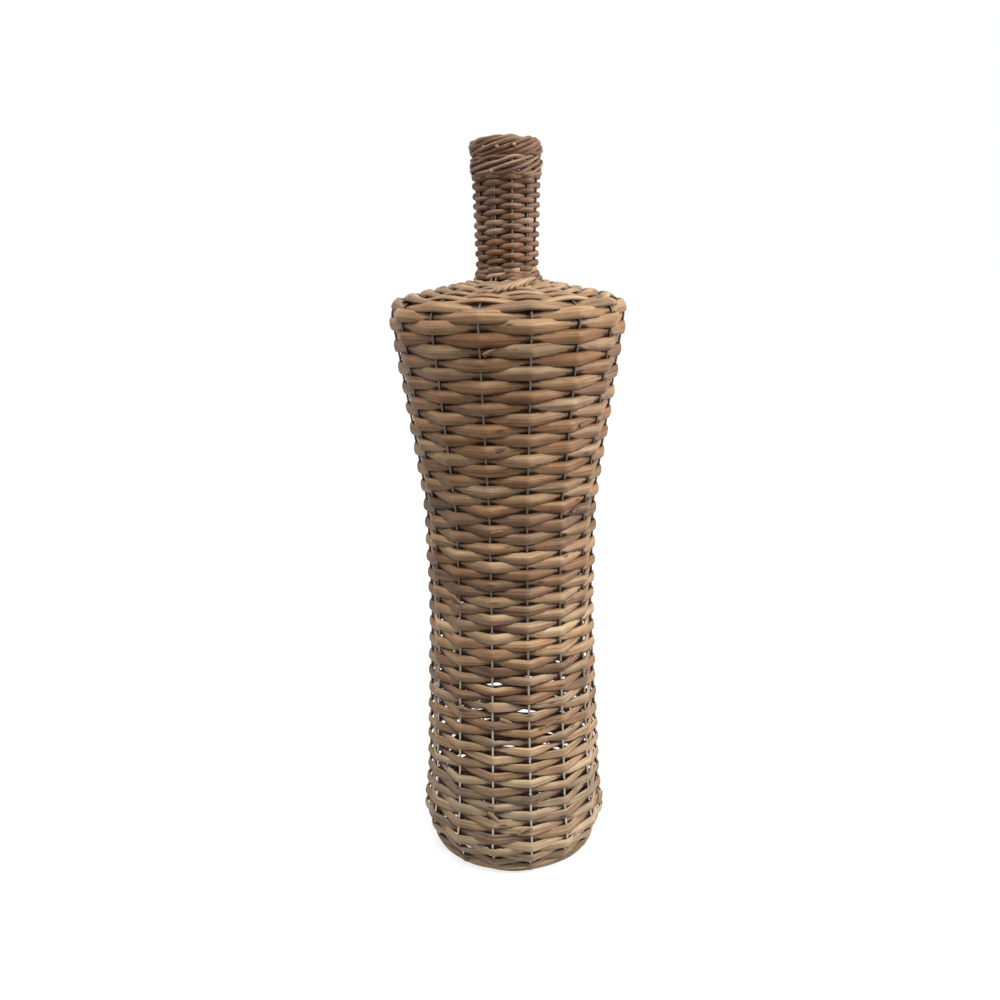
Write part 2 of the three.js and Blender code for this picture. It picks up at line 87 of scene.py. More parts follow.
camera_data = bpy.data.cameras.new("camera")
camera_data.sensor_width = SENSOR_WIDTH
camera_data.lens = SENSOR_WIDTH * PHOTO_FOCAL_PIXELS / PHOTO_WIDTH_PIXELS
camera = new_object("camera", camera_data)
camera.matrix_world = (
    Matrix.Translation(CAMERA_PLACE)
    @ Matrix.Rotation(math.pi / 2 - CAMERA_PITCH, 4, "X")
    @ Matrix.Rotation(-CAMERA_ROLL, 4, "Z")
)
bpy.context.scene.camera = camera
bpy.context.scene.view_settings.view_transform = "Standard"
print("camera lens", round(camera_data.lens, 1), "mm")

# %% [markdown]
# The photograph's ground is plain white. A white floor takes the vase's soft shadow, and the world is
# white where the camera or a reflection sees it, but much weaker where it lights the willow.
# A large lamp high on the right makes that side bright, one from above lights the upper edge of each
# strand, and a weaker one on the left keeps that side from going dark.

# %% Floor, world and lamps
FLOOR_SIZE = 14.0
FLOOR_SHADE = 0.35
FLOOR_GLOW = (0.8, 1.0)
GLOW_DISTANCES = (0.5, 1.6)
WORLD_LIGHT = 0.05
WHITE = (1, 1, 1, 1)
VASE_MIDDLE = (0, 0, 0.42)


def feed(tree, node, inputs):
    """Feeds the inputs of a node, given by name or number: a socket is linked, a value is set."""
    for key, value in inputs.items():
        if isinstance(value, bpy.types.NodeSocket):
            tree.links.new(value, node.inputs[key])
        else:
            node.inputs[key].default_value = value


def make_node(tree, kind, inputs=None, **settings):
    """A shader node with its settings and inputs."""
    node = tree.nodes.new("ShaderNode" + kind)
    for name, value in settings.items():
        setattr(node, name, value)
    feed(tree, node, inputs or {})
    return node


def math_node(tree, operation, *values):
    """The output of a Math node."""
    return make_node(tree, "Math", dict(enumerate(values)), operation=operation).outputs[0]


def map_range(tree, value, ends, results=(0, 1), smooth=False):
    """A value that runs from the first result to the second between the two ends."""
    inputs = dict(zip(("Value", "From Min", "From Max", "To Min", "To Max"), (value, *ends, *results)))
    kind = "SMOOTHSTEP" if smooth else "LINEAR"
    return make_node(tree, "MapRange", inputs, interpolation_type=kind).outputs[0]


def mix_colour(tree, factor, first, second):
    """The colour of a Mix node."""
    return make_node(tree, "Mix", {"Factor": factor, 6: first, 7: second}, data_type="RGBA").outputs[2]


def new_material(name):
    """A material with its node tree and its shader."""
    material = bpy.data.materials.new(name)
    material.use_nodes = True
    return material, material.node_tree, material.node_tree.nodes["Principled BSDF"]


def object_place(tree):
    """The place on the vase, in Object coordinates, and its height."""
    place = make_node(tree, "TexCoord").outputs["Object"]
    return place, make_node(tree, "SeparateXYZ", {0: place}).outputs["Z"]


def seen_directly(tree):
    """A value that is 1 for camera and glossy rays: for what the eye or a reflection sees."""
    rays = make_node(tree, "LightPath").outputs
    return math_node(tree, "MAXIMUM", rays["Is Camera Ray"], rays["Is Glossy Ray"])


world = bpy.data.worlds.new("studio")
bpy.context.scene.world = world
world.use_nodes = True
world_tree = world.node_tree
feed(world_tree, world_tree.nodes["Background"], {
    "Color": WHITE,
    "Strength": map_range(world_tree, seen_directly(world_tree), (0, 1), (WORLD_LIGHT, 1)),
})

floor_mesh = bpy.data.meshes.new("floor")
half = FLOOR_SIZE / 2
floor_mesh.from_pydata(
    [(-half, -half, 0), (half, -half, 0), (half, half, 0), (-half, half, 0)], [], [(0, 1, 2, 3)]
)
floor = new_object("floor", floor_mesh)
floor_material, floor_tree, floor_shader = new_material("white paper")
floor_place = make_node(floor_tree, "TexCoord").outputs["Object"]
from_vase = make_node(floor_tree, "VectorMath", {0: floor_place}, operation="LENGTH").outputs["Value"]
floor_glow = map_range(floor_tree, from_vase, GLOW_DISTANCES, FLOOR_GLOW)
feed(floor_tree, floor_shader, {
    "Base Color": (FLOOR_SHADE, FLOOR_SHADE, FLOOR_SHADE, 1),
    "Roughness": 1.0,
    "Specular IOR Level": 0.0,
    "Emission Color": WHITE,
    "Emission Strength": math_node(floor_tree, "MULTIPLY", seen_directly(floor_tree), floor_glow),
})
floor_mesh.materials.append(floor_material)


def area_lamp(name, place, size, power, colour):
    """A square lamp at a place, turned to face the middle of the vase."""
    lamp = bpy.data.lights.new(name, "AREA")
    lamp.size = size
    lamp.energy = power
    lamp.color = colour
    lamp_object = new_object(name, lamp)
    lamp_object.location = place
    aim = Vector(VASE_MIDDLE) - Vector(place)
    lamp_object.rotation_euler = aim.to_track_quat("-Z", "Y").to_euler()


area_lamp("key lamp", (2.25, -0.6, 1.5), 0.9, 80, (1.0, 0.985, 0.96))
area_lamp("top lamp", (-0.3, -0.8, 3.0), 1.1, 57, (1.0, 1.0, 1.0))
area_lamp("left lamp", (-2.2, -0.9, 1.7), 0.8, 15, (1.0, 0.99, 0.97))
print("floor, world and", len(bpy.data.lights), "lamps are set")

# %% [markdown]
# The vase's outline is one line from the middle of the base to the rim. Each corner of it has a radius,
# a height and a rounding, the same driving sizes that the frame was built from. Working the line out
# again gives the place and the outward direction for every strand at any distance along it.

# %% Sizes and outline
MM = 0.001
WIRE_COUNT = 15
WIRES_PER_GROUP = 3
GROUP_COUNT = WIRE_COUNT // WIRES_PER_GROUP
FRONT_WIRE_ANGLE = math.radians(10)
WIRE_RADIUS = 1.2 * MM
BASE_RING_RADIUS = 12 * MM
SPLIT_THICKNESS = 3 * MM
CLEARANCE = 0.3 * MM
BASE_LIFT = 3 * MM
FOOT_BORDER_OUTER = 87 * MM
FOOT_BORDER_WIDTH = 10 * MM
NECK_FOOT_RADIUS = 34.2 * MM
NECK_TOP = 770 * MM
RIM_RADIUS = 39.3 * MM
RIM_BAND_HEIGHT = 20 * MM
RIM_HOOP_HEIGHT = 800 * MM
OUTLINE_STEP = 0.5 * MM

# Radius, height, rounding and thickness of the willow at each corner, in millimetres.
OUTLINE_CORNERS = np.array([
    (0, 3, 0, 3),
    (97.3, 3, 10, 3),
    (112, 38, 30, 3),
    (106.5, 80, 200, 3),
    (96.3, 300, 500, 3),
    (98.2, 425, 250, 3),
    (131.5, 647.5, 22, 3),
    (34.2, 669.5, 6, 4.2),
    (38.4, 810, 0, 4.2),
]) * MM
SHOULDER_CORNER = 6
NECK_CORNER = 7
ARC_POINTS = 12


def rounded_corner(before, corner, after):
    """Radius, height and normal of the points on the arc that rounds a corner, worked out on complex
    numbers, radius + i height. The arc starts rounding x tan(turn / 2) before the corner."""
    start, middle, end = (row[0] + 1j * row[1] for row in (before, corner, after))
    inward, outward = (step / abs(step) for step in (middle - start, end - middle))
    turn = np.angle(outward / inward)
    rounding = math.copysign(corner[2], turn)
    centre = middle - inward * rounding * (math.tan(turn / 2) - 1j)
    normals = -1j * inward * np.exp(1j * np.linspace(0, turn, ARC_POINTS))
    arc = centre + rounding * normals
    return np.column_stack([arc.real, arc.imag, normals.real, normals.imag])


def make_outline():
    """Even distances along the outline, radius, height, normal and willow thickness at each, and the
    distances where the arcs of the shoulder's and the neck's corner end."""
    rows = [(*OUTLINE_CORNERS[0, :2], 0.0, -1.0, OUTLINE_CORNERS[0, 3])]
    for i in range(1, len(OUTLINE_CORNERS) - 1):
        arc = rounded_corner(*OUTLINE_CORNERS[i - 1:i + 2])
        rows.extend(np.column_stack([arc, np.full(ARC_POINTS, OUTLINE_CORNERS[i, 3])]))
    rows.append((*OUTLINE_CORNERS[-1, :2], *rows[-1][2:4], OUTLINE_CORNERS[-1, 3]))
    rows = np.array(rows)
    distance = np.concatenate([[0], np.cumsum(np.linalg.norm(np.diff(rows[:, :2], axis=0), axis=1))])
    even = np.arange(0, distance[-1], OUTLINE_STEP)
    table = np.stack([np.interp(even, distance, column) for column in rows.T], axis=1)
    return even, table, *distance[[ARC_POINTS * SHOULDER_CORNER, ARC_POINTS * NECK_CORNER]]


outline_s, outline_table, SHOULDER_END, NECK_START = make_outline()


def outline_at(s):
    """Radius, height, normal radius part, normal height part and willow thickness at distances s."""
    r, z, nr, nz, thick = (np.interp(s, outline_s, outline_table[:, i]) for i in range(5))
    length = np.hypot(nr, nz)
    return r, z, nr / length, nz / length, thick


def distance_at_height(z):
    """Distance along the outline of a height on the wall or the neck."""
    return np.interp(z, outline_table[:, 1], outline_s)


print("outline is", round(outline_s[-1], 3), "m long, shoulder ends at", round(SHOULDER_END, 3))

# %% [markdown]
# The cage: fifteen wires stand at even angles in the wall. On the shoulder they run straight in to the
# neck, where the first wire of each group of three keeps its plane and the other two lie side by side
# halfway to the next group. Every strand is placed by where it crosses a wire.


# %% Places on the cage
def around(angle):
    """Outward direction at an angle from -Y towards +X."""
    return np.stack([np.sin(angle), -np.cos(angle)], axis=-1)


def upright(angle, out, up):
    """Points or directions in the upright plane at an angle: so far outwards and so far up."""
    return np.stack(np.broadcast_arrays(out * np.sin(angle), -out * np.cos(angle), up), axis=-1)


def beside(angle):
    """Direction to the right of the outward one, seen from outside."""
    return np.stack([np.cos(angle), np.sin(angle)], axis=-1)


def wire_angle(k):
    """Angle of wire k in the wall."""
    return FRONT_WIRE_ANGLE + 2 * math.pi * np.asarray(k) / WIRE_COUNT


def neck_angle(k):
    """Angle and sideways shift of wire k in the neck."""
    member = np.mod(k, WIRES_PER_GROUP)
    half_pair = WIRE_RADIUS + CLEARANCE / 2
    angle = wire_angle(k - member) + (member > 0) * math.pi / GROUP_COUNT
    return angle, half_pair * np.array([0, -1, 1])[member]


def wire_line(s):
    """Radius and height of the wires' centre lines at outline distances, one willow thickness and one
    wire radius inside the outline, and the outline's normal there."""
    r, z, nr, nz, thick = outline_at(s)
    inset = thick + WIRE_RADIUS
    return r - nr * inset, z - nz * inset, nr, nz


def cage_point(k, s, depth=0.0):
    """A point on wire k at outline distance s, moved outwards by depth, and the direction along the wire."""
    k, s = np.broadcast_arrays(np.asarray(k), np.asarray(s, dtype=float))
    k = np.mod(k, WIRE_COUNT)
    centre_r, centre_z, nr, nz = wire_line(s)
    angle, shift = neck_angle(k)
    aside = shift[..., None] * beside(angle)
    wall_xy = centre_r[..., None] * around(wire_angle(k))
    neck_xy = centre_r[..., None] * around(angle) + aside
    start_xy = wire_line(SHOULDER_END)[0] * around(wire_angle(k))
    end_xy = wire_line(NECK_START)[0] * around(angle) + aside
    share = np.clip((s - SHOULDER_END) / (NECK_START - SHOULDER_END), 0, 1)[..., None]
    cone_xy = start_xy + (end_xy - start_xy) * share
    above_wall_xy = np.where((s < NECK_START)[..., None], cone_xy, neck_xy)
    xy = np.where((s < SHOULDER_END)[..., None], wall_xy, above_wall_xy)
    angle = np.arctan2(xy[..., 0], -xy[..., 1])
    point = np.concatenate([xy, centre_z[..., None]], axis=-1)
    return point + upright(angle, nr, nz) * np.asarray(depth)[..., None], upright(angle, -nz, nr)


def on_outline(s, angle, away):
    """Points at outline distances and angles, moved outwards by away, and the direction up the outline."""
    r, z, nr, nz, _ = outline_at(s)
    return upright(angle, r + nr * away, z + nz * away), upright(angle, -nz, nr)


print("wire 0 at half height:", cage_point(0, 0.45)[0].round(4))

# %% [markdown]
# Every strand is a section carried along a path. The section is a squashed circle: flat splits have a
# low back and a domed front, rods are nearly round. The path's own direction and the direction along
# the wires turn the section, so that the broad face always looks out of the basket.


# %% Strands
def dome_section(points, back_share):
    """A closed section in (across, height): across = cos and height = sin of even angles. The part below
    the middle has only the back share of the height."""
    angles = 2 * math.pi * (np.arange(points) + 0.5) / points
    height = np.sin(angles)
    return np.cos(angles), height * np.where(height < 0, back_share, 1 - back_share)


SPLIT_SECTION = dome_section(14, 0.25)
ROD_SECTION = dome_section(10, 0.5)
WIRE_SECTION = dome_section(12, 0.5)


def carry(path, along, width, thickness, section, roll=0.0):
    """Vertices of a section carried along a path: outward is the path's direction crossed with the
    direction along the wires, and across is outward crossed with the path."""
    tangent = np.gradient(path, axis=0)
    tangent /= np.linalg.norm(tangent, axis=1, keepdims=True)
    outward = np.cross(tangent, along)
    outward /= np.linalg.norm(outward, axis=1, keepdims=True)
    across = np.cross(outward, tangent)
    width, thickness, roll = (np.broadcast_to(v, len(path))[:, None] for v in (width, thickness, roll))
    cos_roll, sin_roll = np.cos(roll), np.sin(roll)
    across, outward = across * cos_roll + outward * sin_roll, outward * cos_roll - across * sin_roll
    u, h = section
    aside, lift = u * width / 2, h * thickness
    return path[:, None] + across[:, None] * aside[..., None] + outward[:, None] * lift[..., None]


def tube_faces(rings, sides, closed=False):
    """Quads between neighbouring rings, and quads across the two end rings unless the tube is closed."""
    i = np.arange(rings if closed else rings - 1)[:, None] * sides
    j = np.arange(sides)
    after_i, after_j = (i + sides) % (rings * sides), (j + 1) % sides
    wall = np.stack([i + j, i + after_j, after_i + after_j, after_i + j], axis=-1).reshape(-1, 4)
    if closed:
        return wall
    pair = np.arange(sides // 2 - 1)
    cap = np.stack([pair, pair + 1, sides - 2 - pair, sides - 1 - pair], axis=1)
    return np.concatenate([wall, cap[:, ::-1], cap + (rings - 1) * sides])


# What would stand out of the frame's box by part of a millimetre is pressed flat against it.
KEPT_BOX = np.array(cad_box) + np.array([[1], [-1]]) * 0.05 * MM
# From the light lens to the full painted shade, as a share of a strand's half width.
SHADE_EDGE = 0.24
# From the grain of one strand to that of the next, so that no two look alike.
GRAIN_STEP = 7.3


def lens_shade(reach, section, point):
    """How much painted shade each vertex of a strand takes: reach is 0 over a wire and 1 behind the next one.
    The light part is a lens whose half width is sqrt(1 - (reach / point)^2) of the strand's, and outside it
    the strand is painted dark."""
    lens = np.sqrt(np.clip(1 - (reach / point) ** 2, 0, 1))
    return np.clip((np.abs(section[0]) - lens[:, None]) / SHADE_EDGE + 0.4, 0, 1)


class Bundle:
    """Strands that become one mesh: their faces, and a row for each vertex with its place and what the
    willow's finish reads there: the grain along and across, the tone, the edge and the painted shade behind
    the wires."""

    def __init__(self):
        self.rows, self.faces = [], []
        self.size = self.strands = 0

    def strand(self, path, along, width, thickness, section, tone, painted_shade=0.0, roll=0.0, closed=False):
        """Adds one strand, a section carried along a path. Its grain is in metres along and across it.
        Painted shade is 1 where it lies in the dark behind a wire, and the finish paints it dark there. A
        closed path has one extra point at each end."""
        vertices = carry(path, along, width, thickness, section, roll)
        if closed:
            vertices = vertices[1:-1]
        rings, sides = vertices.shape[:2]
        middle = vertices.mean(axis=1)
        step = np.linalg.norm(np.diff(middle, axis=0), axis=1)
        length = np.concatenate([[0], np.cumsum(step)]) + GRAIN_STEP * self.strands
        across = section[0] * np.broadcast_to(width, rings)[:, None] / 2
        looks = (length[:, None], across, tone, np.abs(section[0]), painted_shade)
        looks = np.stack([np.broadcast_to(look, (rings, sides)) for look in looks], axis=-1)
        self.rows.append(np.concatenate([vertices, looks], axis=-1).reshape(-1, 8))
        self.faces.append(tube_faces(rings, sides, closed) + self.size)
        self.size += rings * sides
        self.strands += 1

    def make(self, name, material, slot, *nodes):
        """Makes the mesh and the object that replaces the frame's nodes."""
        rows = np.concatenate(self.rows)
        points = np.clip(rows[:, :3], *KEPT_BOX)
        faces = np.concatenate(self.faces)
        mesh = bpy.data.meshes.new(name)
        mesh.vertices.add(len(points))
        mesh.vertices.foreach_set("co", points.astype(np.float32).ravel())
        mesh.loops.add(faces.size)
        mesh.loops.foreach_set("vertex_index", faces.astype(np.int32).ravel())
        mesh.polygons.add(len(faces))
        mesh.polygons.foreach_set("loop_start", np.arange(0, faces.size, 4, dtype=np.int32))
        mesh.polygons.foreach_set("use_smooth", np.ones(len(faces), dtype=bool))
        mesh.update(calc_edges=True)
        grain = mesh.uv_layers.new(name="grain")
        grain.data.foreach_set("uv", rows[faces.ravel(), 3:5].astype(np.float32).ravel())
        for column, label in enumerate(("tone", "edge", "painted_shade"), 5):
            attribute = mesh.attributes.new(label, "FLOAT", "POINT")
            attribute.data.foreach_set("value", rows[:, column].astype(np.float32))
        mesh.materials.append(material)
        mesh.validate()
        piece = new_object(name, mesh)
        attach(piece, "root")
        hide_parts(*nodes)
        print(f"{name}: {self.strands} strands, {len(faces) * 2} triangles")


# %% [markdown]
# The finish of dry willow: pale fibres and darker streaks run along each strand, the outer skin leaves
# a brown line at the edges, small buds show as dark spots, and each strand has its own tone and hue.
# Where a strand tucks in behind a wire it is painted dark, as the shade there. Near the foot the willow has
# gone grey, towards the shoulder it is a warm tan, and by height it is painted lighter low on the wall and
# darker higher up, as light and shade. One group of nodes works all this out from the strand's own grain, and
# each material gives it its own colours.


# %% Finish of the willow
WILLOW_SOCKETS = (
    ("INPUT", "Float", ("Along", "Across", "Tone", "Edge", "Painted_Shade", "Height", "Grey", "Fibre Width", "Dome")),
    ("INPUT", "Color", ("Dark", "Middle", "Pale")),
    ("OUTPUT", "Float", ("Roughness", "Bump")),
    ("OUTPUT", "Color", ("Color",)),
)
# Each pattern in the grain: its scale along and across the strand, its detail and roughness, and how
# far it moves the strand's tone.
FIBRES = (16, 1500, 4.0, 0.65, 0.8)
BANDS = (9, 330, 3.0, 0.6, 1.15)
STAINS = (22, 60, 3.0, 0.6, 0.9)
BUD_SCALES = (24, 90)
BUD_EDGE = (0.17, 0.06)
BUD_DARKNESS = 0.8
# Heights in metres between which the willow greys, is painted from darker up high to lighter lower down as
# light and shade, and goes from flat splits to domed ones.
GREY_HEIGHTS = (0.34, 0.05)
# Painted light and shade: the willow is lighter low on the wall and darker high up, where the flaring wall
# faces down.
PAINTED_LIGHT_HEIGHTS = (0.47, 0.31)
DOMED_HEIGHTS = (0.18, 0.36)
GREY_LOOK = {"Hue": 0.512, "Saturation": 0.8}
PAINTED_LIGHT_VALUES = (0.93, 1.13)
FLAT_DOME = 0.12
# Parts of a strand's half width and of its painted shade behind a wire between which it darkens, and how
# much.
SKIN_EDGE = (0.78, 1.0)
SKIN_DARKNESS = 0.55
PAINTED_SHADE_RAMP = (0.2, 1.0)
PAINTED_SHADE_DARKNESS = 0.92


def scaled_vector(tree, *parts):
    """A vector whose parts are each a socket times its scale."""
    scaled = {i: math_node(tree, "MULTIPLY", *part) for i, part in enumerate(parts)}
    return make_node(tree, "CombineXYZ", scaled).outputs[0]


def grain_noise(tree, along, across, seed, pattern):
    """Noise stretched along the strand: its coordinates are along x scale, across x scale and a seed."""
    place = scaled_vector(tree, (along, pattern[0]), (across, pattern[1]), (seed, 37))
    inputs = {"Vector": place, "Scale": 1.0, "Detail": pattern[2], "Roughness": pattern[3]}
    return make_node(tree, "TexNoise", inputs).outputs[0]


def make_willow_group():
    """Willow fibre: a strand's tone plus fibres, bands and stains chooses a colour from dark to pale, buds,
    the edge line and the painted shade behind the wires darken it, and its brightness is painted by height as
    light and shade. Bump = fibres and bands - dome x edge squared."""
    group = bpy.data.node_groups.new("willow fibre", "ShaderNodeTree")
    for direction, kind, labels in WILLOW_SOCKETS:
        for label in labels:
            group.interface.new_socket(label, in_out=direction, socket_type="NodeSocket" + kind)
    given = group.nodes.new("NodeGroupInput").outputs
    calc, mix, ramp = (partial(maker, group) for maker in (math_node, mix_colour, map_range))
    tone, edge, height, dark = (given[label] for label in ("Tone", "Edge", "Height", "Dark"))
    along = given["Along"]
    across = calc("DIVIDE", given["Across"], given["Fibre Width"])
    fibres, bands, stains = (grain_noise(group, along, across, tone, p) for p in (FIBRES, BANDS, STAINS))
    reach = tone
    for noise, pattern in ((fibres, FIBRES), (bands, BANDS), (stains, STAINS)):
        reach = calc("MULTIPLY_ADD", calc("SUBTRACT", noise, 0.5), pattern[-1], reach)
    colour = mix(ramp(reach, (0, 0.5)), dark, given["Middle"])
    colour = mix(ramp(reach, (0.5, 1)), colour, given["Pale"])
    greyed = make_node(group, "HueSaturation", {**GREY_LOOK, "Color": colour})
    grey_share = calc("MULTIPLY", ramp(height, GREY_HEIGHTS), given["Grey"])
    colour = mix(grey_share, colour, greyed.outputs[0])
    skin = ramp(edge, SKIN_EDGE, (0, SKIN_DARKNESS), smooth=True)
    colour = mix(calc("MULTIPLY", skin, stains), colour, dark)
    # Painted shade: where a strand dives behind a wire it is mixed towards the dark colour.
    colour = mix(ramp(given["Painted_Shade"], PAINTED_SHADE_RAMP, (0, PAINTED_SHADE_DARKNESS), smooth=True), colour, dark)
    warmth = calc("SINE", calc("MULTIPLY", tone, 97.0))
    own_hue = make_node(group, "HueSaturation", {
        "Hue": calc("MULTIPLY_ADD", warmth, 0.004, 0.5),
        "Saturation": calc("MULTIPLY_ADD", warmth, -0.08, 1.04),
        # Painted light and shade: lighter low on the wall and darker high up.
        "Value": ramp(height, PAINTED_LIGHT_HEIGHTS, PAINTED_LIGHT_VALUES),
        "Color": colour,
    })
    bud_place = scaled_vector(group, (along, BUD_SCALES[0]), (across, BUD_SCALES[1]), (tone, 11))
    bud = make_node(group, "TexVoronoi", {"Vector": bud_place, "Scale": 1.0}).outputs["Distance"]
    bud = ramp(bud, BUD_EDGE, (0, BUD_DARKNESS), smooth=True)
    bump = calc("MULTIPLY_ADD", fibres, 0.5, calc("MULTIPLY", bands, 0.8))
    bump = calc("MULTIPLY_ADD", bud, 0.4, bump)
    dome = calc("MULTIPLY", given["Dome"], ramp(height, DOMED_HEIGHTS, (FLAT_DOME, 1)))
    feed(group, group.nodes.new("NodeGroupOutput"), {
        "Color": mix(bud, own_hue.outputs[0], dark),
        "Roughness": calc("MULTIPLY_ADD", bands, 0.3, 0.42),
        "Bump": calc("SUBTRACT", bump, calc("MULTIPLY", dome, calc("MULTIPLY", edge, edge))),
    })
    return group


willow_group = make_willow_group()


def willow_material(name, dark, middle, pale, grey=0.0, fibre_width=1.0, dome=0.0):
    """Willow with its own three colours: reads the strand's grain, tone, edge and painted shade, and its
    height.
    """
    material, tree, shader = new_material(name)
    grain = make_node(tree, "UVMap", uv_map="grain").outputs[0]
    grain_parts = make_node(tree, "SeparateXYZ", {0: grain}).outputs
    inputs = {
        "Along": grain_parts["X"], "Across": grain_parts["Y"], "Height": object_place(tree)[1],
        "Dark": (*dark, 1), "Middle": (*middle, 1), "Pale": (*pale, 1),
        "Grey": grey, "Fibre Width": fibre_width, "Dome": dome,
    }
    for label in ("Tone", "Edge", "Painted_Shade"):
        inputs[label] = make_node(tree, "Attribute", attribute_name=label.lower()).outputs["Fac"]
    fibre = make_node(tree, "Group", inputs, node_tree=willow_group).outputs
    bump = make_node(tree, "Bump", {"Strength": 0.6, "Distance": 0.5 * MM, "Height": fibre["Bump"]})
    feed(tree, shader, {
        "Base Color": fibre["Color"],
        "Roughness": fibre["Roughness"],
        "Specular IOR Level": 0.4,
        "Normal": bump.outputs[0],
    })
    return material


split_willow = willow_material(
    "willow split", (0.034, 0.012, 0.006), (0.27, 0.145, 0.072), (0.56, 0.385, 0.22), grey=0.95, dome=10.0
)
rod_willow = willow_material(
    "willow rod", (0.034, 0.013, 0.007), (0.225, 0.118, 0.065), (0.48, 0.33, 0.21), fibre_width=0.6
)
shoulder_willow = willow_material(
    "shoulder willow", (0.08, 0.035, 0.018), (0.34, 0.21, 0.12), (0.56, 0.41, 0.27), fibre_width=0.7
)
print("willow finishes:", [m.name for m in (split_willow, rod_willow, shoulder_willow)])

# %% [markdown]
# The wires are drawn steel, bare and slightly dulled, with fine lines from the drawing and dull patches from
# handling. From the lower body up their colour is painted darker, as dimmer reflections. They reflect the
# white room, so they show light grey between the strands.


# %% Finish of the wires
PLAIN_STEEL = ((0.28, 0.255, 0.20, 1), (0.60, 0.56, 0.47, 1))
# Painted dim reflection: the upper wires take this darker pair of colours.
PAINTED_DIM_STEEL = ((0.055, 0.045, 0.035, 1), (0.17, 0.145, 0.115, 1))
PAINTED_DIM_HEIGHTS = (0.12, 0.34)


def steel_material():
    """Metal whose colour and roughness change with two sizes of noise; its colour is painted darker from the
    lower body up, as dimmer reflections.
    """
    material, tree, shader = new_material("drawn steel")
    place, height = object_place(tree)
    patches = make_node(tree, "TexNoise", {"Vector": place, "Scale": 45.0}).outputs[0]
    lines = make_node(tree, "TexNoise", {"Vector": place, "Scale": 900.0, "Detail": 3.0}).outputs[0]
    plain_steel, painted_dim = (mix_colour(tree, patches, *shades) for shades in (PLAIN_STEEL, PAINTED_DIM_STEEL))
    bump = make_node(tree, "Bump", {"Strength": 0.25, "Distance": 0.05 * MM, "Height": lines})
    feed(tree, shader, {
        "Metallic": 1.0,
        # Painted dim reflection: the steel goes darker between these heights.
        "Base Color": mix_colour(tree, map_range(tree, height, PAINTED_DIM_HEIGHTS), plain_steel, painted_dim),
        "Roughness": math_node(tree, "MULTIPLY_ADD", lines, 0.25, 0.36),
        "Normal": bump.outputs[0],
    })
    return material


steel = steel_material()
print("wire finish:", steel.name)

# %% [markdown]
# The wires themselves: each starts just outside the ring under the base, follows the outline to the
# foot, the wall, the shoulder and the neck, and ends under the hoop in the rim. A round section is
# carried along the wire's line, and the ring and the hoop are the same section on a circle.


# %% Wires
WIRE_DIAMETER = 2 * WIRE_RADIUS
UPWARDS = np.array([0.0, 0.0, 1.0])


def closed_ring(bundle, radius, height, steps, width, section, tone=0.5):
    """A section carried round a full level circle and closed on itself."""
    path = upright(2 * math.pi * np.arange(-1, steps + 1) / steps, radius, height)
    bundle.strand(path, UPWARDS, width, width / 2, section, tone, closed=True)


hoop_distance = distance_at_height(RIM_HOOP_HEIGHT)
wire_stations = np.arange(BASE_RING_RADIUS + WIRE_RADIUS + CLEARANCE, hoop_distance - WIRE_DIAMETER, 4 * MM)
for k in range(WIRE_COUNT):
    path, _ = cage_point(k, wire_stations)
    side = np.append(beside(wire_angle(k)), 0.0)
    wire = Bundle()
    wire.strand(path, side, WIRE_DIAMETER, WIRE_DIAMETER, WIRE_SECTION, 0.5)
    wire.make(f"drawn_wire_{k + 1:02d}", steel, "steel_wire", f"wire_{k + 1:02d}")

hoop_r, _, _, _, hoop_thick = outline_at(hoop_distance)
# Radius, height and number of steps of each ring.
WIRE_RINGS = {
    "base_ring": (BASE_RING_RADIUS, BASE_LIFT + SPLIT_THICKNESS + WIRE_RADIUS, 48),
    "rim_hoop": (hoop_r - hoop_thick - WIRE_RADIUS, RIM_HOOP_HEIGHT, 72),
}
for name, (radius, height, steps) in WIRE_RINGS.items():
    wire = Bundle()
    closed_ring(wire, radius, height, steps, WIRE_DIAMETER, WIRE_SECTION)
    wire.make(f"drawn_{name}", steel, "steel_wire", name)

# %% [markdown]
# The wall is one long weaver: with an odd number of wires, a strand that goes in front of one and
# behind the next comes round shifted by one, and so weaves on by itself. It climbs one course a turn.
# It runs straight from wire to wire and bends sharply over each one that it passes in front of.
# There it is pressed flat and broad, and it narrows as it dives behind the next wire. The weaver is
# made of many splits of willow, each with its own tone and width, which start and end behind a wire.


# %% Weaving
rng = np.random.default_rng(8)

# Height and spacing of the courses there, in millimetres: close at the foot and wide at the shoulder.
# Over the shoulder they close up again towards the neck.
COURSE_SPACING = np.array([(0, 8.8), (200, 10.5), (330, 9.9), (640, 12.2)]) * MM
SHOULDER_SPAN = (SHOULDER_END, NECK_START)
SHOULDER_SPACINGS = (9.2 * MM, 5.4 * MM)
FIRST_FRONT_ROW = 26.2 * MM
WALL_FOOT_DISTANCE = FOOT_BORDER_OUTER + CLEARANCE
PAIR_ZONE = SHOULDER_END + 0.66 * (NECK_START - SHOULDER_END)


def course_spacing(s):
    """Spacing of the courses at outline distances: by height in the wall, then closing up to the neck."""
    in_wall = np.interp(outline_at(s)[1], *COURSE_SPACING.T)
    return np.where(s < SHOULDER_END, in_wall, np.interp(s, SHOULDER_SPAN, SHOULDER_SPACINGS))


def course_table():
    """Numbers and outline distances of the courses: from the first row that shows in front, number 0,
    in steps of the spacing up to the neck and down to the foot."""
    up = [float(distance_at_height(FIRST_FRONT_ROW))]
    down = up[:]
    while up[-1] < NECK_START:
        up.append(up[-1] + float(course_spacing(up[-1])))
    while down[-1] > WALL_FOOT_DISTANCE:
        down.append(down[-1] - float(course_spacing(down[-1])))
    return np.arange(1 - len(down), len(up)), np.array(down[:0:-1] + up)


course_numbers, course_s = course_table()


